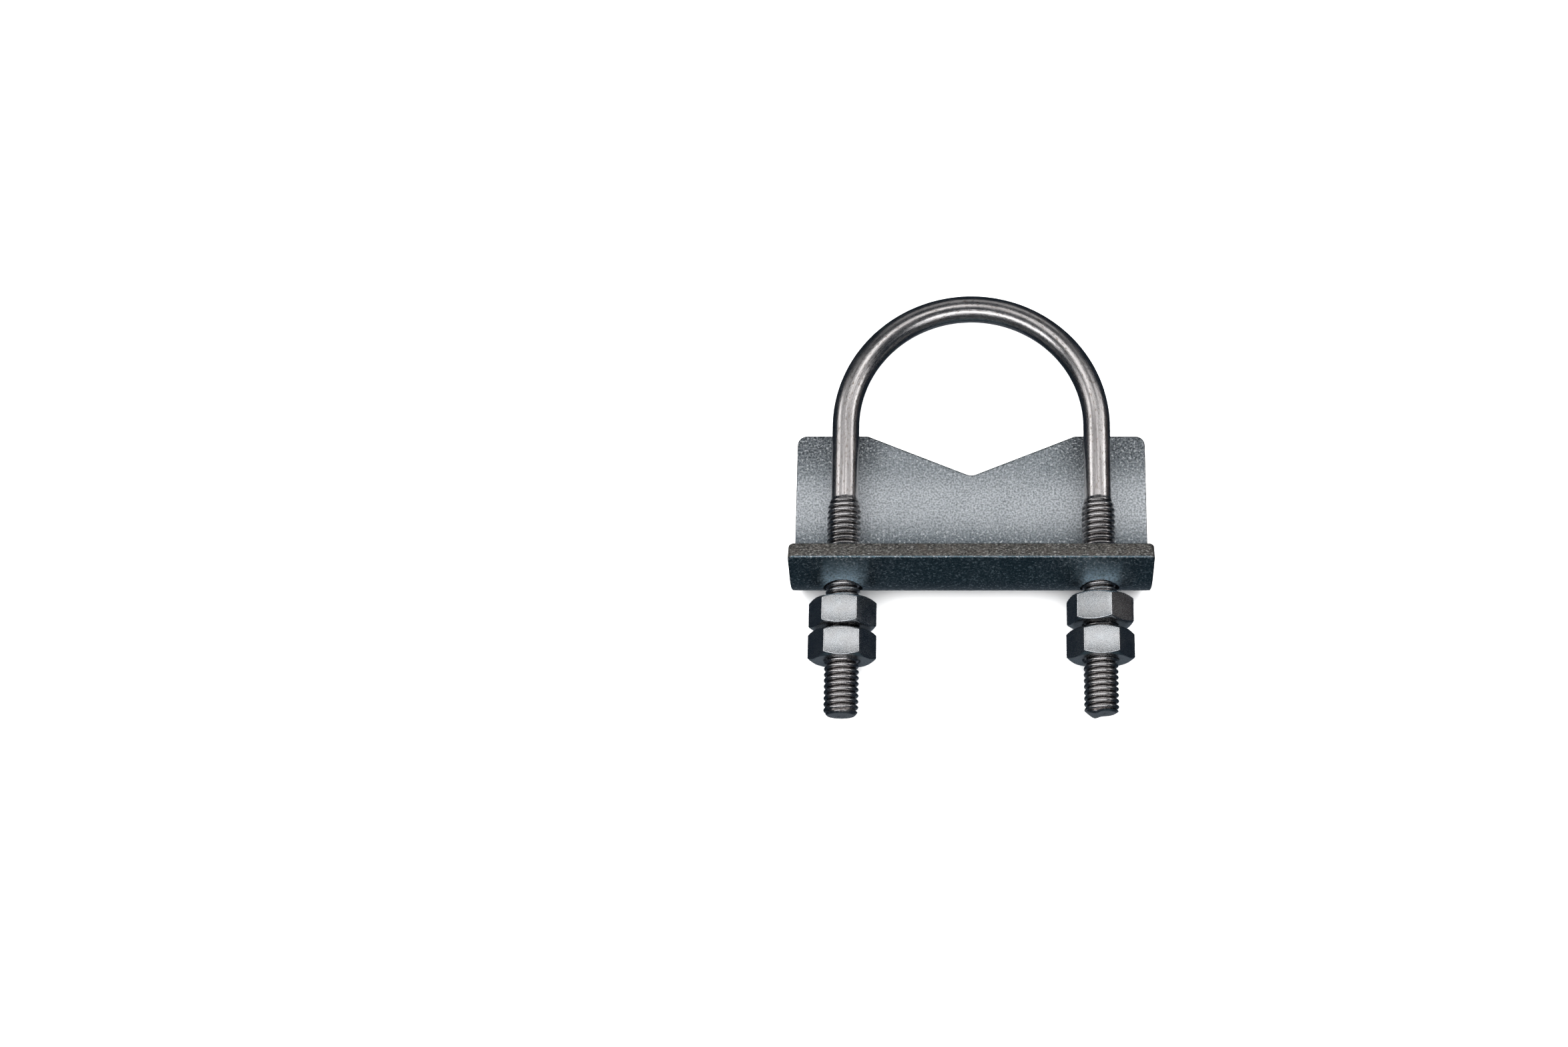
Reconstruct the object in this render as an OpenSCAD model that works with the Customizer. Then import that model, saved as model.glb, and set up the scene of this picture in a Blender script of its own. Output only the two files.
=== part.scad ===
// U-bolt pipe clamp with a V-notched saddle, lying on the saddle's flange.
// X runs along the saddle, Y along the legs (arch at +Y, free ends at -Y), Z up.
// The origin is the middle of the footprint, on the resting plane.

/* [U-bolt] */
// Distance between the two leg centrelines
leg_spacing = 43; // [38:0.5:60]
// Diameter of the plain rod, thinner than the thread rolled on it
rod_d = 4.6; // [4.4:0.1:5.2]
// Outside diameter of the thread
thread_d = 5.8; // [5.4:0.1:6]
// Length from the free ends to the outside of the arch
bolt_len = 74.8; // [70:0.2:95]
// Length of thread on each leg
thread_len = 38; // [34:1:42]
// Chamfer on the free ends
tip_chamfer = 0.9; // [0.3:0.1:1.2]

/* [Saddle] */
// Length of the saddle along X
saddle_len = 60.5; // [56:0.5:80]
// Thickness of the sheet
sheet_t = 3; // [2:0.5:3.5]
// Inside radius of the bend between the flange and the lip
bend_r = 6; // [5:0.5:7]
// Reach of the flange, from the outside of the web to its notched edge
flange_reach = 29.3; // [26:0.1:36]
// Angle by which the front lip leans back over the flange
lip_lean = 22; // [0:1:30]
// Straight length of the front lip above its bend
lip_len = 6; // [2:0.5:8]
// Width of the V-notch at the flange's edge
notch_w = 36; // [28:1:36]
// Depth of the V-notch
notch_depth = 7.3; // [4:0.1:9]
// Radius at the bottom of the V-notch
notch_r = 2; // [0.5:0.5:3]
// Radius of the flange's outer corners
flange_corner_r = 1.6; // [0.5:0.1:3]
// Radius of the lip's top corners
lip_corner_r = 1; // [0.4:0.1:2]
// Diameter of the two leg holes
leg_hole_d = 6.6; // [6.4:0.1:7]

/* [Nuts] */
// Width across the flats of a nut
nut_af = 10; // [9.8:0.1:10]
// Height of a nut
nut_h = 4.9; // [4.5:0.1:5.2]
// Bore of a nut, a running fit on the thread
nut_bore_d = 5.92; // [5.9:0.01:5.98]
// Angle of the chamfer on a nut's corners
nut_chamfer = 30; // [20:1:35]

/* [Positions] */
// Distance from the free ends to the outside of the saddle's web
web_from_ends = 21.9; // [20:0.1:26]
// Gap between the web and the inner nut on the left leg, then the right leg
inner_gap = [2.2, 1.6]; // [1:0.1:2.4]
// Gap between the inner nut and the jam nut on the left leg, then the right leg
jam_gap = [0.6, 1.0]; // [0.4:0.1:1.2]
// Turn of the inner nuts about their legs, left then right, positive towards +X
inner_turn = [-3.9, -15]; // [-30:0.1:30]
// Turn of the jam nuts about their legs, left then right, positive towards +X
jam_turn = [1.7, -0.8]; // [-30:0.1:30]

/* [Hidden] */

steel = "#a9b1b7";
plate = "#8f9aa1";
$fn = 96;

leg_x = leg_spacing / 2;
bend_outer_r = bend_r + sheet_t;
leg_z = bend_outer_r;              // the legs pass level with the middle of the bend
end_y = -bolt_len / 2;             // free ends of the legs
arch_y = bolt_len / 2 - leg_x - rod_d / 2;
web_y = end_y + web_from_ends;     // outermost line of the saddle's web
runout = (thread_d - rod_d) / 2;   // 45 degree step from thread to plain rod
notch_slope = notch_depth / (notch_w / 2);
outwards = [-cos(lip_lean), sin(lip_lean)];    // square to the lip's outer face, in (Y, Z)
upwards = [sin(lip_lean), cos(lip_lean)];      // along the lip, in (Y, Z)

inner_y = [for (gap = inner_gap) web_y - gap];
jam_y = [for (side = [0, 1]) inner_y[side] - nut_h - jam_gap[side]];

// ---- U-bolt ----

// Half outline of one leg, radius against height above the free end
module leg_outline() {
    polygon([
        [0, 0],
        [thread_d / 2 - tip_chamfer, 0],
        [thread_d / 2, tip_chamfer],
        [thread_d / 2, thread_len],
        [rod_d / 2, thread_len + runout],
        [rod_d / 2, arch_y - end_y],
        [0, arch_y - end_y]
    ]);
}

module leg(side) {
    translate([side * leg_x, end_y, leg_z])
        rotate([-90, 0, 0])
            rotate_extrude()
                leg_outline();
}

module arch() {
    translate([0, arch_y, leg_z])
        rotate_extrude(angle = 180)
            translate([leg_x, 0])
                circle(d = rod_d);
}

module u_bolt() {
    color(steel)
        union() {
            leg(-1);
            leg(1);
            arch();
        }
}

// ---- Saddle ----

// Where the flange's and the lip's outer faces would meet if the bend were sharp
function sharp_corner() = bend_outer_r * [-tan(45 + lip_lean / 2), -1];

// What the bend's outer radius takes off that sharp corner
module bend_waste() {
    difference() {
        polygon([
            [0, 0],
            [0, -bend_outer_r],
            sharp_corner(),
            bend_outer_r * outwards
        ]);
        circle(r = bend_outer_r);
    }
}

// Cross-section of the bent sheet in (Y, Z), with the web's outermost line at Y = 0
module sheet_section() {
    edge = flange_reach - bend_outer_r;
    translate([bend_outer_r, bend_outer_r])
        difference() {
            polygon([
                [0, 0],
                [0, -bend_r],
                [edge, -bend_r],
                [edge, -bend_outer_r],
                sharp_corner(),
                bend_outer_r * outwards + lip_len * upwards,
                bend_r * outwards + lip_len * upwards,
                bend_r * outwards
            ]);
            circle(r = bend_r);
            bend_waste();
        }
}

module bent_sheet() {
    translate([-saddle_len / 2, 0, 0])
        rotate([90, 0, 90])
            linear_extrude(saddle_len)
                sheet_section();
}

// What a corner of radius r loses, with the corner itself at the origin
module corner_waste(r) {
    difference() {
        translate([-r, -r])
            square(2 * r);
        translate([-r, -r])
            circle(r = r);
    }
}

// V-notch with a rounded bottom, opening towards +Y
module notch() {
    half_angle = atan(1 / notch_slope);
    tip = notch_r / sin(half_angle);        // from the sharp V's point to the arc's centre
    tangent_y = tip - notch_r * sin(half_angle);
    bottom = tip - notch_r;                 // the arc's lowest point above the sharp V's point
    over = 2;                               // how far the cutter runs past the edge
    translate([0, flange_reach - notch_depth - bottom])
        union() {
            polygon([
                [-tangent_y / notch_slope, tangent_y],
                [tangent_y / notch_slope, tangent_y],
                [(notch_depth + over) / notch_slope, notch_depth + over],
                [-(notch_depth + over) / notch_slope, notch_depth + over]
            ]);
            translate([0, tip])
                circle(r = notch_r);
        }
}

module saddle() {
    hole_len = 4 * sheet_t;
    color(plate)
        translate([0, web_y, 0])
            difference() {
                bent_sheet();
                translate([0, 0, -sheet_t])
                    linear_extrude(3 * sheet_t) {
                        notch();
                        for (side = [-1, 1])
                            translate([side * saddle_len / 2, flange_reach])
                                mirror([side < 0 ? 1 : 0, 0])
                                    corner_waste(flange_corner_r);
                    }
                for (side = [-1, 1]) {
                    translate([side * leg_x, -sheet_t, leg_z])
                        rotate([-90, 0, 0])
                            cylinder(d = leg_hole_d, h = hole_len);
                    lip_corner_cut(side);
                }
            }
}

// Rounds one top corner of the front lip, square to the lip's face
module lip_corner_cut(side) {
    translate([side * saddle_len / 2, bend_outer_r, bend_outer_r])
        rotate([-lip_lean, 0, 0])
            translate([0, -bend_outer_r - sheet_t, lip_len])
                rotate([-90, 0, 0])
                    mirror([side < 0 ? 1 : 0, 0])
                        mirror([0, 1])
                            linear_extrude(3 * sheet_t)
                                corner_waste(lip_corner_r);
}

// ---- Nuts ----

// Half outline of a nut turned between its chamfers, radius against height
module nut_outline() {
    face_r = nut_af / 2 * 0.97;             // the flat ring left on each end
    corner_r = nut_af / 2 / cos(30) + 0.1;
    drop = (corner_r - face_r) * tan(nut_chamfer);
    bore_r = nut_bore_d / 2;
    sink = 0.25;                            // countersink at each end of the bore
    polygon([
        [bore_r + sink, 0],
        [face_r, 0],
        [corner_r, drop],
        [corner_r, nut_h - drop],
        [face_r, nut_h],
        [bore_r + sink, nut_h],
        [bore_r, nut_h - sink],
        [bore_r, sink]
    ]);
}

// Hex nut on one leg: its bearing face is at y, and turn is 0 with a flat upwards
module nut(side, y, turn) {
    color(steel)
        translate([side * leg_x, y, leg_z])
            rotate([0, turn, 0])
                rotate([90, 0, 0])
                    intersection() {
                        cylinder(d = nut_af / cos(30), h = nut_h, $fn = 6);
                        rotate_extrude()
                            nut_outline();
                    }
}

module inner_nut_left() {
    nut(-1, inner_y[0], inner_turn[0]);
}

module jam_nut_left() {
    nut(-1, jam_y[0], jam_turn[0]);
}

module inner_nut_right() {
    nut(1, inner_y[1], inner_turn[1]);
}

module jam_nut_right() {
    nut(1, jam_y[1], jam_turn[1]);
}

u_bolt();
saddle();
inner_nut_left();
jam_nut_left();
inner_nut_right();
jam_nut_right();
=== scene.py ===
"""Looks for a zinc-plated U-bolt pipe clamp that lies on the flange of its saddle.

Each piece is built here at full detail round the CAD frame: the rod with its rolled threads, the pressed
saddle with rounded and sheared edges, and the chamfered hex nuts. Lengths are in metres.

The metal mirrors only a set of cards round it, which don't light the floor, and the floor has its own light.
"""
import math

import bmesh
import bpy
import numpy as np
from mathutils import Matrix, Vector


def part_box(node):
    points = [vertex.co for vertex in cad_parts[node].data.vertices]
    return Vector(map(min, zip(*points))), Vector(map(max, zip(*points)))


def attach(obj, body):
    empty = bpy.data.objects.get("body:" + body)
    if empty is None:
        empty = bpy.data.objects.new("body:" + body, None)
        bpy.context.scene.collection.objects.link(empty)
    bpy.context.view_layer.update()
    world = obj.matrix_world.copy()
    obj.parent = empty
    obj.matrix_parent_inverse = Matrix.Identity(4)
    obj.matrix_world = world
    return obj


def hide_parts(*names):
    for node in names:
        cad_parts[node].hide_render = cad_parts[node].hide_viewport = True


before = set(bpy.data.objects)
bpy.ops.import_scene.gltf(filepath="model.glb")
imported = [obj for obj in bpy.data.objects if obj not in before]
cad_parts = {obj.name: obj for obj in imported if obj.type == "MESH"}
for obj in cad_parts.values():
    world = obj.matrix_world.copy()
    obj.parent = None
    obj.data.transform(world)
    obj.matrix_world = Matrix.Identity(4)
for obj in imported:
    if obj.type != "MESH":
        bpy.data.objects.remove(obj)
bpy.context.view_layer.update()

MM = 0.001

# ---- Sizes, from the frame ----

bolt_lo, bolt_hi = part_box("u_bolt")
saddle_lo, saddle_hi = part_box("saddle")

THREAD_R = (bolt_hi.z - bolt_lo.z) / 2      # the thread is the thickest part of the rod
ROD_R = 2.3 * MM
LEG_X = bolt_hi.x - THREAD_R
LEG_Z = (bolt_hi.z + bolt_lo.z) / 2
END_Y = bolt_lo.y
ARCH_Y = bolt_hi.y - LEG_X - ROD_R          # centre of the arch

PITCH = 1.0 * MM
THREAD_LEN = 38 * MM
THREAD_DEPTH = 0.56 * MM
RUNOUT_LEN = 2.6 * PITCH                    # where the thread fades into the plain rod
TIP_CHAMFER = 0.9 * MM
BURR_LEN = 0.4 * MM                         # how far the burr stands out on the right leg's end
BURR_X = 1.1 * MM                           # from the leg's axis inwards to the burr
BURR_DROP = 0.8 * MM                        # over which the end falls back beside the burr
TIP_DOME = 0.12 * MM                        # how far the end's middle stands out from its rim
TIP_WOBBLE = 0.02 * MM                      # unevenness of the sheared ends

SHEET_T = 3 * MM
BEND_R = 6 * MM                             # inside radius of the bend
LIP_LEAN = math.radians(22)
WEB_Y = saddle_lo.y
SADDLE_HALF = saddle_hi.x
BEND_OUTER = BEND_R + SHEET_T
BEND_MID = BEND_R + SHEET_T / 2
LIP_LEN = (saddle_hi.z - BEND_OUTER * (1 + math.sin(LIP_LEAN))) / math.cos(LIP_LEAN)
BEND_ARC = BEND_MID * (math.pi / 2 + LIP_LEAN)
BEND_END_Y = WEB_Y + BEND_OUTER             # where the bend runs out into the flat flange
FLANGE_LEN = saddle_hi.y - WEB_Y - BEND_OUTER
NOTCH_HALF = 18 * MM
NOTCH_DEPTH = 7.3 * MM
NOTCH_R = 2.0 * MM                          # rounding at the bottom of the V-notch
LIP_CORNER_R = 1.0 * MM
FLANGE_CORNER_R = 1.6 * MM
EDGE_R = 0.38 * MM                          # rounding of the sheet's rims
LEG_HOLE_R = 3.3 * MM

NUT_FLAT_R = 5 * MM                         # from the axis to a flat
NUT_BORE_R = 2.96 * MM
NUT_TURNS = {                               # degrees from a flat facing straight up, towards +X
    "inner_nut_left": -3.9,
    "jam_nut_left": 1.7,
    "inner_nut_right": -15,
    "jam_nut_right": -0.8,
}


# ---- Mesh helpers ----

def new_piece(name, verts, faces, material, sharp):
    mesh = bpy.data.meshes.new(name)
    mesh.from_pydata([tuple(v) for v in verts], [], faces)
    mesh.update()
    return finish_piece(name, mesh, [material], sharp)


def finish_piece(name, mesh, materials, sharp):
    """A smooth-shaded object of the mesh, with sharp edges where faces turn by more than sharp degrees."""
    for material in materials:
        mesh.materials.append(material)
    mesh.polygons.foreach_set("use_smooth", [True] * len(mesh.polygons))
    mesh.set_sharp_from_angle(angle=math.radians(sharp))
    piece = bpy.data.objects.new(name, mesh)
    bpy.context.scene.collection.objects.link(piece)
    return piece


def ring_faces(first, second, count):
    """Quads between two rings of vertices that start at those indices."""
    return [(first + i, first + (i + 1) % count, second + (i + 1) % count, second + i)
            for i in range(count)]


def split(quads):
    """Each quad as two triangles, cut from its first corner to its third."""
    return [half for a, b, c, d in quads for half in ((a, b, c), (a, c, d))]


def mark(mesh, name, values):
    """Stores one value a vertex as a mesh attribute, for a material to read."""
    mesh.attributes.new(name, "FLOAT", "POINT").data.foreach_set("value", values)


def smoothstep(t):
    t = np.clip(t, 0, 1)
    return t * t * (3 - 2 * t)


def rise(value, start, length):
    """0 up to start and 1 from start + length on, with an eased step between."""
    return float(smoothstep((value - start) / length))


# ---- Materials ----

class Nodes:
    """A short way to build one material's nodes."""

    def __init__(self, name):
        self.material = bpy.data.materials.new(name)
        self.material.use_nodes = True
        self.tree = self.material.node_tree
        self.shader = self.tree.nodes["Principled BSDF"]

    def link(self, source, target):
        self.tree.links.new(source, target)

    def add(self, kind, **settings):
        node = self.tree.nodes.new(kind)
        for key, value in settings.items():
            setattr(node, key, value)
        return node

    def place(self, scale, attribute=None):
        """Coordinates in metres times scale: the object's own, or those of a mesh attribute."""
        mapping = self.add("ShaderNodeMapping")
        mapping.inputs["Scale"].default_value = scale
        if attribute:
            source = self.add("ShaderNodeAttribute", attribute_name=attribute).outputs["Vector"]
        else:
            source = self.add("ShaderNodeTexCoord").outputs["Object"]
        self.link(source, mapping.inputs["Vector"])
        return mapping.outputs["Vector"]

    def mask(self, attribute):
        """A mesh attribute that runs from 0 to 1, as written by mark()."""
        return self.add("ShaderNodeAttribute", attribute_name=attribute).outputs["Fac"]

    def noise(self, place, detail=4.0, rough=0.55, distortion=0.0):
        node = self.add("ShaderNodeTexNoise")
        node.inputs["Scale"].default_value = 1.0
        node.inputs["Detail"].default_value = detail
        node.inputs["Roughness"].default_value = rough
        node.inputs["Distortion"].default_value = distortion
        self.link(place, node.inputs["Vector"])
        return node.outputs["Fac"]

    def ramp(self, value, low, high, bottom=0.0, top=1.0):
        """value from low..high to bottom..top, held at the ends."""
        node = self.add("ShaderNodeMapRange")
        node.inputs["From Min"].default_value = low
        node.inputs["From Max"].default_value = high
        node.inputs["To Min"].default_value = bottom
        node.inputs["To Max"].default_value = top
        self.link(value, node.inputs["Value"])
        return node.outputs["Result"]

    def math(self, operation, a, b):
        node = self.add("ShaderNodeMath", operation=operation)
        for socket, value in zip(node.inputs, (a, b)):
            if isinstance(value, (int, float)):
                socket.default_value = value
            else:
                self.link(value, socket)
        return node.outputs["Value"]

    def times(self, a, b):
        return self.math("MULTIPLY", a, b)

    def mix(self, factor, a, b):
        """Colour mix: a and b are colours or sockets."""
        node = self.add("ShaderNodeMix", data_type="RGBA")
        self.link(factor, node.inputs["Factor"])
        for name, value in (("A", a), ("B", b)):
            socket = next(s for s in node.inputs if s.name == name and s.type == "RGBA")
            if isinstance(value, tuple):
                socket.default_value = (*value, 1)
            else:
                self.link(value, socket)
        return next(s for s in node.outputs if s.type == "RGBA")

    def bump(self, height, depth, below=None):
        """A bump whose height runs over depth metres, on top of another bump."""
        node = self.add("ShaderNodeBump")
        node.inputs["Strength"].default_value = 1.0
        node.inputs["Distance"].default_value = depth
        self.link(height, node.inputs["Height"])
        if below:
            self.link(below, node.inputs["Normal"])
        return node.outputs["Normal"]

    def finish(self, color, roughness, normal):
        self.shader.inputs["Metallic"].default_value = 1.0
        self.link(color, self.shader.inputs["Base Color"])
        self.link(roughness, self.shader.inputs["Roughness"])
        self.link(normal, self.shader.inputs["Normal"])
        return self.material


def even(scale):
    """The same scale along all three axes. A noise of scale s has features about 1 / s metres wide."""
    return (scale, scale, scale)


def rod_zinc():
    """Bright plated rod: drawn streaks along it and brownish specks, and clean thread with painted shade in
    its roots.
    """
    n = Nodes("rod_zinc")
    plain = n.math("SUBTRACT", 1.0, n.mask("thread"))
    streaks = n.noise(n.place((3400, 3400, 60), "rod"), detail=4, rough=0.6)
    clouds = n.noise(n.place(even(260)), detail=3)
    specks = n.noise(n.place((4200, 4200, 1500), "rod"), detail=2)
    tone = n.mix(n.ramp(clouds, 0.35, 0.7), (0.50, 0.48, 0.475), (0.60, 0.57, 0.56))
    tone = n.mix(n.times(n.ramp(streaks, 0.45, 0.7, 0, 0.7), plain), tone, (0.27, 0.25, 0.25))
    tone = n.mix(n.times(n.ramp(specks, 0.58, 0.68, 0, 0.75), plain), tone, (0.22, 0.18, 0.15))
    # painted shade: the thread's colour darkens with its depth towards the roots
    root = n.times(n.mask("root"), n.mask("thread"))
    tone = n.mix(n.ramp(root, 0.45, 1.0, 0, 0.9), tone, (0.09, 0.085, 0.085))
    rough = n.math("ADD", n.ramp(streaks, 0.3, 0.8, 0.17, 0.32), n.ramp(clouds, 0.3, 0.7, 0.0, 0.06))
    normal = n.bump(n.times(streaks, plain), 0.012 * MM)
    normal = n.bump(n.times(specks, plain), 0.012 * MM, normal)
    return n.finish(tone, rough, normal)


def sheet_zinc():
    """Blue-passivated plate on pressed sheet: fine grain and bright flecks, a painted highlight along the
    middle of the flange, painted shade on its bend and in its corners, painted shade on the lip's outer face,
    and a painted reflection of each nut as a pale mark above it."""
    n = Nodes("sheet_zinc")
    painted_nut_reflection = n.mask("painted_nut_reflection")
    clouds = n.noise(n.place(even(110)), detail=3, distortion=0.6)
    grain = n.noise(n.place(even(3000)), detail=4, rough=0.6)
    flecks = n.noise(n.place(even(2300)), detail=3, rough=0.65)
    tone = n.mix(n.ramp(clouds, 0.32, 0.68), (0.23, 0.27, 0.30), (0.35, 0.39, 0.43))
    # painted highlight: the middle of the flange lightened to near-white, mottled by the clouds
    painted_sheen = n.times(n.mask("bright"), n.ramp(clouds, 0.2, 0.6, 0.7, 1.0))
    tone = n.mix(painted_sheen, tone, (0.93, 0.96, 1.0))
    tone = n.mix(n.ramp(grain, 0.42, 0.60, 0.6, 0.0), tone, (0.10, 0.12, 0.13))
    # painted shade: the flange's bend and its outer corners darkened, broken up by the grain
    tone = n.mix(n.times(n.mask("painted_flange_shade"), n.ramp(grain, 0.42, 0.58, 1.0, 0.45)), tone, (0.07, 0.08, 0.09))
    # painted shade: the outer face of the lip and the bend darkened to a dark blue-green
    tone = n.mix(n.times(n.mask("dark"), n.ramp(grain, 0.42, 0.60, 1.0, 0.25)), tone, (0.10, 0.16, 0.19))
    tone = n.mix(n.ramp(flecks, 0.55, 0.64, 0, 0.7), tone, (0.93, 0.96, 0.98))
    # painted reflection of each nut: a pale blue mark on the lip above it
    tone = n.mix(n.times(painted_nut_reflection, n.ramp(grain, 0.35, 0.6, 0.45, 1.0)), tone, (0.66, 0.84, 0.95))
    rough = n.math("ADD", n.ramp(clouds, 0.3, 0.7, 0.24, 0.32), n.ramp(grain, 0.3, 0.7, 0.0, 0.12))
    rough = n.math("ADD", rough, n.times(painted_nut_reflection, 0.3))
    normal = n.bump(grain, 0.07 * MM)
    normal = n.bump(flecks, 0.08 * MM, normal)
    return n.finish(tone, rough, normal)


def sheared_zinc():
    """The sheet's cut edge: torn, grainy and a little warmer."""
    n = Nodes("sheared_zinc")
    tear = n.noise(n.place((2600, 3800, 3800)), detail=5, rough=0.7)
    clouds = n.noise(n.place(even(300)), detail=2)
    tone = n.mix(n.ramp(tear, 0.38, 0.60), (0.09, 0.085, 0.08), (0.42, 0.40, 0.37))
    tone = n.mix(n.ramp(tear, 0.57, 0.64), tone, (0.95, 0.93, 0.90))
    tone = n.mix(n.ramp(clouds, 0.45, 0.7, 0, 0.4), tone, (0.40, 0.34, 0.29))
    rough = n.ramp(tear, 0.3, 0.7, 0.36, 0.55)
    normal = n.bump(tear, 0.25 * MM)
    return n.finish(tone, rough, normal)


def nut_zinc():
    """Satin flats with a faint grain and small scratches."""
    n = Nodes("nut_zinc")
    clouds = n.noise(n.place(even(420)), detail=3)
    grain = n.noise(n.place(even(6400)), detail=3, rough=0.6)
    marks = n.noise(n.place((900, 5200, 2400)), detail=3, rough=0.7)
    tone = n.mix(n.ramp(clouds, 0.35, 0.68), (0.47, 0.49, 0.51), (0.57, 0.57, 0.575))
    tone = n.mix(n.ramp(grain, 0.38, 0.54, 0.25, 0), tone, (0.25, 0.26, 0.28))
    tone = n.mix(n.ramp(grain, 0.52, 0.64, 0, 0.5), tone, (0.80, 0.80, 0.81))
    tone = n.mix(n.ramp(marks, 0.60, 0.72, 0, 0.4), tone, (0.28, 0.30, 0.33))
    rough = n.math("ADD", n.ramp(clouds, 0.3, 0.7, 0.18, 0.26), n.ramp(grain, 0.3, 0.7, 0.0, 0.10))
    normal = n.bump(grain, 0.016 * MM)
    return n.finish(tone, rough, normal)


# ---- U-bolt ----

SIDES = 48                                  # vertices round the rod
STEPS_PER_TURN = 16                         # rings for each turn of thread
LEG_RINGS = 18                              # rings along the plain part of a leg
ARCH_RINGS = 82                             # rings round the arch, with the two that the legs end on


def thread_radius(advance, angle, from_tip):
    """Radius of the rod. advance is the place along the sweep, angle the place round it: the thread is
    right-handed, fades into the plain rod at THREAD_LEN, and ends in a half bevelled, half rounded tip."""
    phase = advance / PITCH - angle / (2 * math.pi)
    off_crest = np.abs(phase - np.round(phase))
    groove = (2 * off_crest) ** 2           # round crests that meet in a sharp root
    radius = THREAD_R - THREAD_DEPTH * groove
    fade = smoothstep((THREAD_LEN - from_tip) / RUNOUT_LEN)
    radius = ROD_R + (radius - ROD_R) * fade
    left = max(1 - from_tip / TIP_CHAMFER, 0)
    rounding = TIP_CHAMFER * (0.5 * left + 0.5 * (1 - math.sqrt(1 - left ** 2)))
    return np.minimum(radius, THREAD_R - rounding)


def onto_helix(advance, angles, from_tip):
    """Places along the sweep, moved on by less than a step so that each vertex lies on a line of the
    thread. Without this the sharp root would fall between vertices and look ragged."""
    turns = angles / (2 * math.pi)
    rounding = 1e-6                         # keeps a vertex that is already on a line where it is
    steps = np.ceil((advance / PITCH - turns) * STEPS_PER_TURN - rounding)
    moved = (steps / STEPS_PER_TURN + turns) * PITCH
    amount = float(from_tip < THREAD_LEN) * smoothstep((from_tip - TIP_CHAMFER / 2) / TIP_CHAMFER)
    return advance + (moved - advance) * amount


def bolt_stations():
    """The sweep from the left tip round the arch to the right tip.

    Each station is (centre, outward direction, place along the sweep, distance from the nearer tip).
    """
    leg_len = ARCH_Y - END_Y
    fine = np.arange(TIP_DOME, THREAD_LEN + PITCH / 4, PITCH / STEPS_PER_TURN)
    coarse = np.linspace(THREAD_LEN + PITCH / 2, leg_len, LEG_RINGS)
    from_tip = np.concatenate([fine, coarse])
    arch_len = math.pi * LEG_X
    stations = []
    for d in from_tip:
        stations.append((Vector((-LEG_X, END_Y + d, LEG_Z)), Vector((-1, 0, 0)), d, d))
    for turn in np.linspace(0, math.pi, ARCH_RINGS)[1:-1]:
        out = Vector((-math.cos(turn), math.sin(turn), 0))
        stations.append((Vector((0, ARCH_Y, LEG_Z)) + out * LEG_X, out, leg_len + turn * LEG_X, leg_len))
    for d in from_tip[::-1]:
        advance = 2 * leg_len + arch_len - d
        stations.append((Vector((LEG_X, END_Y + d, LEG_Z)), Vector((1, 0, 0)), advance, d))
    return stations


def burr(x, from_tip):
    """How far the right leg's sheared end stands back, all but a burr on its inner side."""
    if x < 0:
        return 0.0
    off_burr = (x - LEG_X + BURR_X) / BURR_DROP
    return float(BURR_LEN * (1 - math.exp(-off_burr ** 2)) * smoothstep(1 - from_tip / (3 * BURR_LEN)))


def tip_cap(rim, rim_index, next_index, rng):
    """A leg's end: rings that shrink from the rim to a middle point, slightly domed and uneven like a sheared
    face, none past END_Y. Gives the new vertices, which start at next_index, and their faces."""
    centre = sum(rim, Vector()) / SIDES
    verts, faces = [], []
    last = rim_index
    for share in (0.94, 0.8, 0.64, 0.48, 0.32, 0.16):
        first = next_index + len(verts)
        for p in rim:
            x = centre.x + (p.x - centre.x) * share
            set_back = TIP_DOME * share ** 2 + abs(rng.normal(0, TIP_WOBBLE)) + burr(x, 0)
            verts.append(Vector((x, END_Y + set_back, centre.z + (p.z - centre.z) * share)))
        faces += ring_faces(last, first, SIDES)
        last = first
    verts.append(Vector((centre.x, END_Y + burr(centre.x, 0), centre.z)))
    hub = next_index + len(verts) - 1
    faces += [(last + i, last + (i + 1) % SIDES, hub) for i in range(SIDES)]
    return verts, faces


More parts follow.
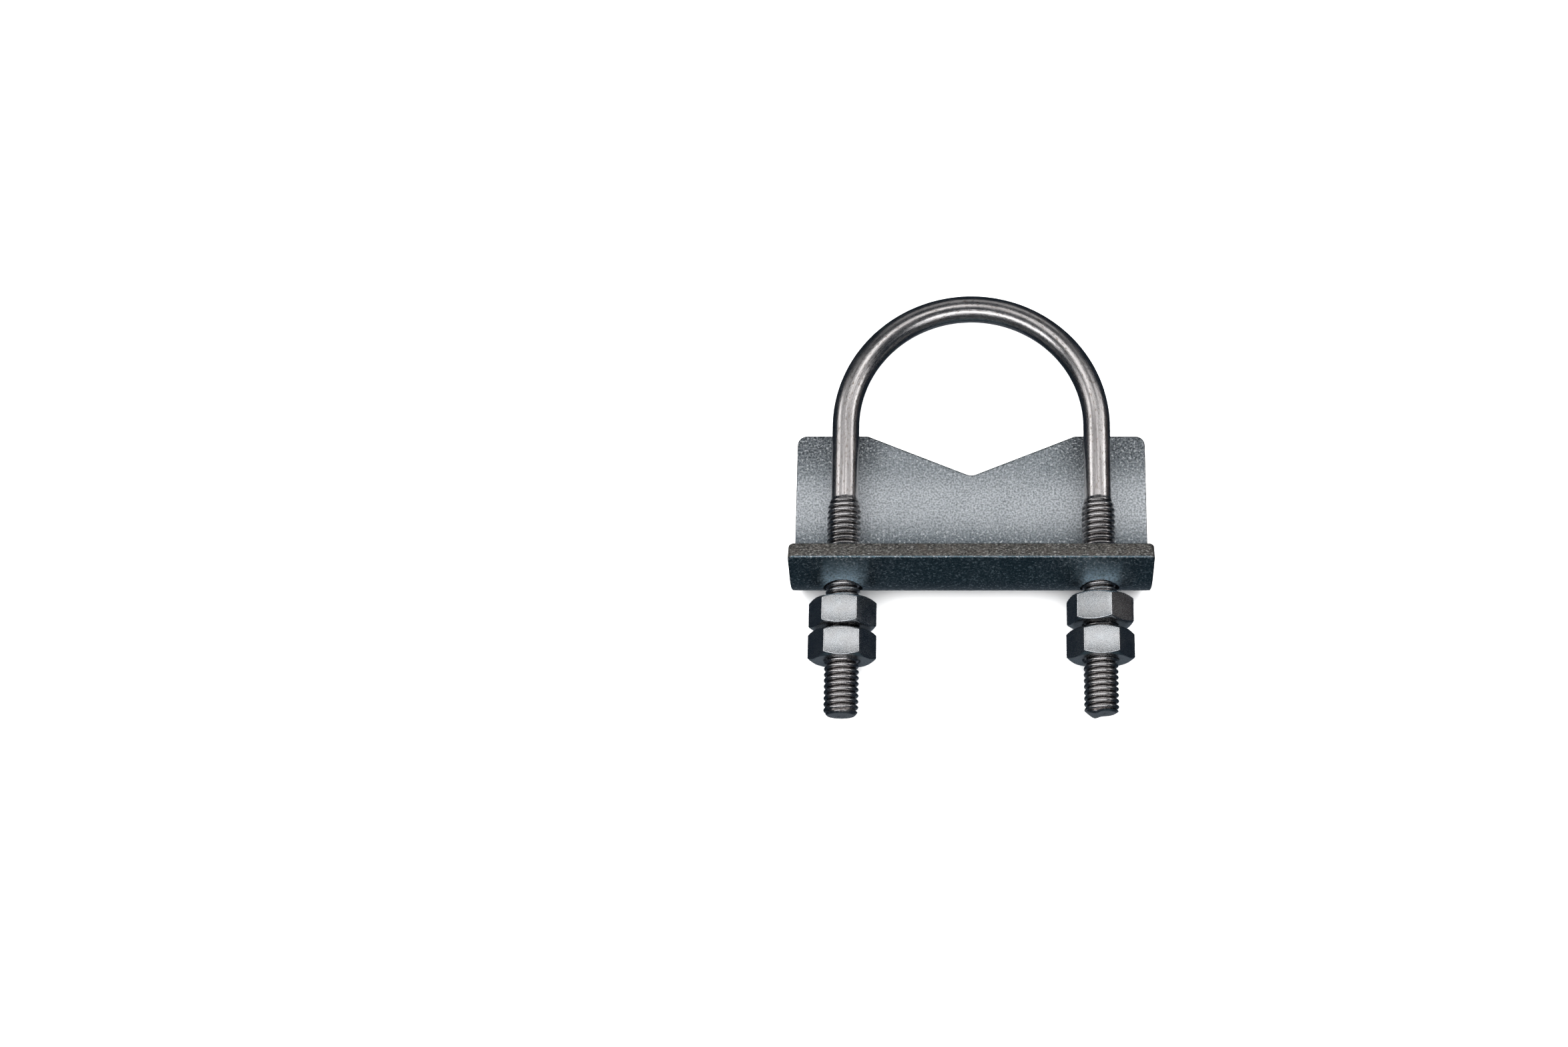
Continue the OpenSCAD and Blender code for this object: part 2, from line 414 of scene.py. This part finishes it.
def u_bolt(material):
    """The whole rod as one swept skin, with the attributes that its material reads: rod (unrolled place),
    thread (1 on the thread, 0 on the plain rod) and root (depth into the thread, 0 to 1)."""
    rng = np.random.default_rng(7)
    angles = np.arange(SIDES) * 2 * math.pi / SIDES
    up = Vector((0, 0, 1))
    verts, places, threaded, depths, faces = [], [], [], [], []
    stations = bolt_stations()
    for centre, out, advance, from_tip in stations:
        along = out.cross(up)               # the way the sweep goes
        advances = onto_helix(advance, angles, from_tip)
        radii = thread_radius(advances, angles, from_tip)
        for angle, radius, place in zip(angles, radii, advances):
            spoke = out * math.cos(angle) + up * math.sin(angle)
            vert = centre + spoke * float(radius) + along * float(place - advance)
            vert.y += burr(vert.x, from_tip)
            verts.append(vert)
            places.append((ROD_R * math.cos(angle), ROD_R * math.sin(angle), place))
            threaded.append(float(smoothstep((THREAD_LEN - from_tip) / PITCH)))
            depths.append(float((THREAD_R - radius) / THREAD_DEPTH) if from_tip > TIP_CHAMFER else 0.0)
    for i in range(len(stations) - 1):
        faces += split(ring_faces(i * SIDES, (i + 1) * SIDES, SIDES))

    for start, flip in ((0, True), ((len(stations) - 1) * SIDES, False)):
        new_verts, new_faces = tip_cap(verts[start:start + SIDES], start, len(verts), rng)
        middle = new_verts[-1]
        verts += new_verts
        places += [(v.x - middle.x, v.z - middle.z, places[start][2]) for v in new_verts]
        threaded += [1.0] * len(new_verts)
        depths += [0.0] * len(new_verts)
        faces += [f[::-1] for f in new_faces] if flip else new_faces

    piece = new_piece("u_bolt_rod", verts, faces, material, sharp=40)
    rod = piece.data.attributes.new("rod", "FLOAT_VECTOR", "POINT")
    rod.data.foreach_set("vector", np.array(places, np.float32).ravel())
    mark(piece.data, "thread", threaded)
    mark(piece.data, "root", depths)
    return piece


# ---- Saddle ----

SHEET_SHARP = 50                            # degrees


def rounded_outline(corners):
    """A closed outline with each corner (x, u, radius) rounded by an arc, a vertex about every 6 degrees."""
    points = []
    for i, (x, u, radius) in enumerate(corners):
        here = Vector((x, u))
        before = (Vector(corners[i - 1][:2]) - here).normalized()
        after = (Vector(corners[(i + 1) % len(corners)][:2]) - here).normalized()
        half = before.angle(after) / 2
        centre = here + (before + after).normalized() * (radius / math.sin(half))
        start = here + before * (radius / math.tan(half)) - centre
        end = here + after * (radius / math.tan(half)) - centre
        sweep = start.angle_signed(end) * -1
        count = max(2, round(abs(math.degrees(sweep)) / 6))
        for k in range(count + 1):
            turn = sweep * k / count
            c, s = math.cos(turn), math.sin(turn)
            points.append(centre + Vector((start.x * c - start.y * s, start.x * s + start.y * c)))
    return points


def bend(x, u, h):
    """A point of the flat blank, u from the lip's edge and h out from the middle of the sheet, as bent."""
    middle = Vector((0, WEB_Y + BEND_OUTER, BEND_OUTER))
    turned = min(max((u - LIP_LEN) / BEND_MID, 0), BEND_ARC / BEND_MID)
    facing = LIP_LEAN - turned
    outward = Vector((0, -math.cos(facing), math.sin(facing)))
    along = Vector((0, -math.sin(facing), -math.cos(facing)))
    straight = min(u - LIP_LEN, 0) + max(u - LIP_LEN - BEND_ARC, 0)
    return middle + outward * (BEND_MID + h) + along * straight + Vector((x, 0, 0))


def saddle(sheet, sheared):
    """The bent sheet: a flat blank rounded along its rims, sliced finely enough to bend, bent and drilled."""
    length = LIP_LEN + BEND_ARC + FLANGE_LEN
    corners = [
        (-SADDLE_HALF, 0, LIP_CORNER_R),
        (SADDLE_HALF, 0, LIP_CORNER_R),
        (SADDLE_HALF, length, FLANGE_CORNER_R),
        (NOTCH_HALF, length, FLANGE_CORNER_R),
        (0, length - NOTCH_DEPTH, NOTCH_R),
        (-NOTCH_HALF, length, FLANGE_CORNER_R),
        (-SADDLE_HALF, length, FLANGE_CORNER_R),
    ]
    bm = bmesh.new()
    outline = [bm.verts.new((p.x, p.y, -SHEET_T / 2)) for p in rounded_outline(corners)]
    blank = bm.faces.new(outline)
    grown = bmesh.ops.extrude_face_region(bm, geom=[blank])["geom"]
    for v in grown:
        if isinstance(v, bmesh.types.BMVert):
            v.co.z = SHEET_T / 2
    rims = [e for e in bm.edges if abs(e.verts[0].co.z - e.verts[1].co.z) < 1e-9]
    bmesh.ops.bevel(bm, geom=rims, offset=EDGE_R, segments=4, profile=0.55, affect="EDGES")

    def slice_at(place, normal):
        bmesh.ops.bisect_plane(bm, geom=bm.verts[:] + bm.edges[:] + bm.faces[:], dist=1e-7,
                               plane_co=place, plane_no=normal)

    for u in np.arange(LIP_LEN, LIP_LEN + BEND_ARC, 0.45 * MM):
        slice_at((0, u, 0), (0, 1, 0))
    for u in np.arange(LIP_LEN + BEND_ARC, length, 1.3 * MM):
        slice_at((0, u, 0), (0, 1, 0))
    for x in np.arange(-SADDLE_HALF + 1.5 * MM, SADDLE_HALF - 1 * MM, 1.5 * MM):
        slice_at((x, 0, 0), (1, 0, 0))

    sheared_half = SHEET_T / 2 - 0.3 * MM   # the cut edge, without the outer part of its rounded rims
    for f in bm.faces:
        f.material_index = 1 if abs(f.calc_center_median().z) < sheared_half else 0
    for v in bm.verts:
        v.co = bend(*v.co)
    bmesh.ops.recalc_face_normals(bm, faces=bm.faces[:])
    mesh = bpy.data.meshes.new("saddle_plate")
    bm.to_mesh(mesh)
    bm.free()
    piece = finish_piece("saddle_plate", mesh, [sheet, sheared], SHEET_SHARP)
    drill(piece)
    mark_painted_light(piece)
    return piece


def drill(piece):
    """Cuts the two leg holes along Y, square through the bend."""
    for side in (-1, 1):
        bpy.ops.mesh.primitive_cylinder_add(vertices=96, radius=LEG_HOLE_R, depth=4 * SHEET_T,
                                            location=(side * LEG_X, WEB_Y, LEG_Z),
                                            rotation=(math.pi / 2, 0, 0))
        cutter = bpy.context.object
        cut = piece.modifiers.new("hole", "BOOLEAN")
        cut.operation = "DIFFERENCE"
        cut.solver = "EXACT"
        cut.object = cutter
        bpy.context.view_layer.update()
        cut_piece = piece.evaluated_get(bpy.context.evaluated_depsgraph_get())
        shaped = bpy.data.meshes.new_from_object(cut_piece)
        piece.modifiers.remove(cut)
        piece.data = shaped
        bpy.data.objects.remove(cutter)
    piece.data.set_sharp_from_angle(angle=math.radians(SHEET_SHARP))


def painted_light_at(x, y, z):
    """What the sheet's material reads at one vertex, each from 0 to 1: seat (a painted reflection of each
    nut, the pale mark on the lip above it), dark (painted shade on the outer face of the lip and the bend),
    bright (a painted highlight along the middle of the flange) and dull (painted shade on the flange's bend
    and its outer corners)."""
    across = abs(x)
    depth = BEND_OUTER - math.hypot(y - BEND_END_Y, z - BEND_OUTER)
    outside = z > LEG_Z and y < BEND_END_Y and depth < SHEET_T / 4
    # where the painted reflection of each nut lies: beside its leg and below the lip's edge
    beside_leg = 1 - rise(abs(across - LEG_X), 2.6 * MM, 1.8 * MM)
    below_lip_edge = 1 - rise(z, LEG_Z + 6.4 * MM, 1.6 * MM)

    in_flange = z < SHEET_T + 0.5 * MM and y > WEB_Y + BEND_R
    flat = y - BEND_END_Y                   # along the flange from where its bend ends
    middle = rise(flat, -0.5 * MM, 7 * MM) * (1 - 0.6 * rise(flat, 9 * MM, 6 * MM))
    corner = rise(flat, 11 * MM, 7 * MM) * rise(across, 13 * MM, 5 * MM)
    bend_shade = 1 - rise(flat, -2.5 * MM, 6 * MM)
    return {
        "painted_nut_reflection": beside_leg * below_lip_edge if outside else 0.0,
        "dark": 1.0 if outside else 0.0,
        "bright": middle if in_flange else 0.0,
        "painted_flange_shade": max(0.9 * corner, 0.85 * bend_shade) if in_flange else 0.0,
    }


# stores the sheet's painted reflections, painted shade and painted highlight at each vertex for its material
def mark_painted_light(piece):
    painted_lights = [painted_light_at(*v.co) for v in piece.data.vertices]
    for name in ("painted_nut_reflection", "dark", "bright", "painted_flange_shade"):
        mark(piece.data, name, [finish[name] for finish in painted_lights])


# ---- Nuts ----

NUT_FACE_R = NUT_FLAT_R * 0.97              # the flat ring on each end
NUT_CHAMFER = math.radians(30)
NUT_CORNER_R = 0.5 * MM                     # rounding of the six upright edges
NUT_SINK = 0.28 * MM                        # countersink of the bore
NUT_RIM = 0.07 * MM                         # softening of the chamfer's two rims
CORNER_STEPS = 6                            # faces across a rounded edge
FLAT_STEPS = 12                             # faces across a flat


def nut_angles():
    """Angles round a nut, close together where its edges are rounded, as (angle, radius of the outline)."""
    to_centre = (NUT_FLAT_R - NUT_CORNER_R) / math.cos(math.pi / 6)
    places = []
    for corner in range(6):
        middle = corner * math.pi / 3
        for k in range(CORNER_STEPS + 1):
            t = (k / CORNER_STEPS - 0.5) * math.pi / 3
            x = to_centre + NUT_CORNER_R * math.cos(t)
            y = NUT_CORNER_R * math.sin(t)
            places.append((middle + math.atan2(y, x), math.hypot(x, y)))
        first = math.atan2(NUT_CORNER_R * 0.5, to_centre + NUT_CORNER_R * math.cos(math.pi / 6))
        for k in range(1, FLAT_STEPS):
            angle = first + (math.pi / 3 - 2 * first) * k / FLAT_STEPS
            places.append((middle + angle, NUT_FLAT_R / math.cos(angle - math.pi / 6)))
    return places


def nut_rings(places):
    """The rings of half a nut, from the bore's mouth over the chamfer to the flats. Each ring is a list of
    (radius, height above the end) for every angle."""
    count = len(places)
    soft = NUT_RIM
    drop = [max(r - NUT_FACE_R, 0) * math.tan(NUT_CHAMFER) for _, r in places]
    return [
        [(NUT_BORE_R, NUT_SINK)] * count,
        [(NUT_BORE_R + NUT_SINK, 0)] * count,
        [(NUT_FACE_R - soft, 0)] * count,
        [(NUT_FACE_R + soft * 0.3, soft * 0.12)] * count,
        [(max(r - soft * 1.4, NUT_FACE_R + soft * 0.5), max(d - soft * 0.9, soft * 0.2))
         for (_, r), d in zip(places, drop)],
        [(r - soft * 0.2, d + soft * 0.35) for (_, r), d in zip(places, drop)],
        [(r, d + soft * 1.6) for (_, r), d in zip(places, drop)],
    ]


def nut(name, material):
    """A hex nut in the box of its CAD node: the half rings, the same rings mirrored, and the bore."""
    lo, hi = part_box(name)
    side = 1 if hi.x > 0 else -1
    height = hi.y - lo.y
    places = nut_angles()
    count = len(places)
    half = nut_rings(places)
    whole = half + [[(r, height - depth) for r, depth in ring] for ring in reversed(half)]
    turn = math.radians(NUT_TURNS[name])
    verts = []
    for ring in whole:
        for (angle, _), (radius, depth) in zip(places, ring):
            # turn 0 puts a flat, which lies between two corners, straight up
            a = angle - turn
            verts.append((side * LEG_X + radius * math.cos(a), hi.y - depth, LEG_Z + radius * math.sin(a)))
    faces = []
    for i in range(len(whole)):
        faces += ring_faces(i * count, ((i + 1) % len(whole)) * count, count)
    faces = [f[::-1] for f in faces]
    return new_piece(name + "_steel", verts, faces, material, sharp=60)


# ---- Stage ----

def area_light(name, place, size, radiance, tint=(1, 1, 1)):
    """A rectangular light at place that faces the object, as bright as radiance whatever its size."""
    light = bpy.data.lights.new(name, "AREA")
    light.shape = "RECTANGLE"
    light.size, light.size_y = size
    light.energy = radiance * math.pi * size[0] * size[1]
    light.color = tint
    lamp = bpy.data.objects.new(name, light)
    lamp.location = place
    lamp.rotation_euler = (-Vector(place)).to_track_quat("-Z", "Y").to_euler()
    bpy.context.scene.collection.objects.link(lamp)
    return lamp


def new_material(name):
    """A new material and its shader."""
    material = bpy.data.materials.new(name)
    material.use_nodes = True
    return material, material.node_tree.nodes["Principled BSDF"]


def floor():
    """A pale floor just under the clamp, which the metal doesn't reflect."""
    bpy.ops.mesh.primitive_plane_add(size=4, location=(0, 0, -0.02 * MM))
    plane = bpy.context.object
    plane.name = "floor"
    paint, shader = new_material("floor_paint")
    shader.inputs["Base Color"].default_value = (0.93, 0.93, 0.93, 1)
    shader.inputs["Roughness"].default_value = 0.9
    plane.data.materials.append(paint)
    plane.visible_glossy = False
    plane.visible_shadow = False            # the cards below it still reach the metal


def backdrop():
    """A pale surround for low views, which only the camera sees."""
    bpy.ops.mesh.primitive_uv_sphere_add(segments=48, ring_count=24, radius=6)
    dome = bpy.context.object
    dome.name = "backdrop"
    glow, shader = new_material("backdrop_glow")
    shader.inputs["Base Color"].default_value = (0, 0, 0, 1)
    shader.inputs["Specular IOR Level"].default_value = 0
    shader.inputs["Emission Color"].default_value = (1, 1, 1, 1)
    shader.inputs["Emission Strength"].default_value = 1.0
    glow.cycles.emission_sampling = "NONE"
    dome.data.materials.append(glow)
    dome.visible_diffuse = False
    dome.visible_glossy = False
    dome.visible_shadow = False


def lights():
    """One wide light for the floor, dim cards for the metal to reflect, and a nearly black world."""
    wide = area_light("floor_light", (0, 0.1, 1.2), (1.5, 1.5), 10)
    wide.visible_glossy = False
    cards = [
        area_light("top_card", (0, 0.20, 0.78), (0.80, 0.20), 2.1),
        area_light("right_strip", (0.49, 0.24, 0.58), (0.5, 0.26), 1.1),
        area_light("left_strip", (-0.49, 0.24, 0.58), (0.5, 0.26), 0.7),
        area_light("left_edge_box", (-0.72, 0.2, 0.42), (0.5, 0.25), 2.4),
        area_light("right_edge_box", (0.72, 0.2, 0.42), (0.5, 0.2), 2.8),
        area_light("front_box", (-0.12, -0.50, 0.60), (1.3, 0.30), 3.4, (0.96, 0.98, 1)),
        area_light("back_card", (0, 0.75, 0.42), (0.8, 0.3), 0.5),
        area_light("lip_card", (0, -0.8, -0.42), (0.8, 0.3), 0.10, (0.55, 0.9, 1)),
        area_light("ground_card", (0, -0.12, -0.5), (0.5, 0.5), 0.12, (0.8, 0.9, 1)),
        area_light("brown_card", (0.8, 0.2, 0.02), (0.3, 0.3), 0.06, (1, 0.68, 0.42)),
    ]
    for card in cards:
        card.visible_diffuse = False

    world = bpy.data.worlds.new("studio")
    world.use_nodes = True
    background = world.node_tree.nodes["Background"]
    background.inputs["Color"].default_value = (0.014, 0.022, 0.032, 1)
    background.inputs["Strength"].default_value = 1.0
    bpy.context.scene.world = world
    bpy.context.scene.view_settings.view_transform = "Standard"


def camera():
    """The photograph's view: straight ahead of the clamp and steeply down on it, with the lens shifted
    sideways because the clamp stands right of the picture's middle and is still seen head-on."""
    data = bpy.data.cameras.new("camera")
    data.lens = 50
    data.sensor_width = 36
    data.shift_x = -0.11945
    data.clip_start = 0.01
    viewer = bpy.data.objects.new("camera", data)
    viewer.location = (0, -114.9 * MM, 360.47 * MM)
    viewer.rotation_euler = (math.radians(17.5), 0, 0)
    bpy.context.scene.collection.objects.link(viewer)
    bpy.context.scene.camera = viewer


floor()
backdrop()
lights()
camera()

rod = u_bolt(rod_zinc())
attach(rod, "u_bolt")
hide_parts("u_bolt")

plate = saddle(sheet_zinc(), sheared_zinc())
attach(plate, "saddle")
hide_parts("saddle")

nut_material = nut_zinc()
for name in NUT_TURNS:
    steel = nut(name, nut_material)
    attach(steel, name)
    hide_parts(name)
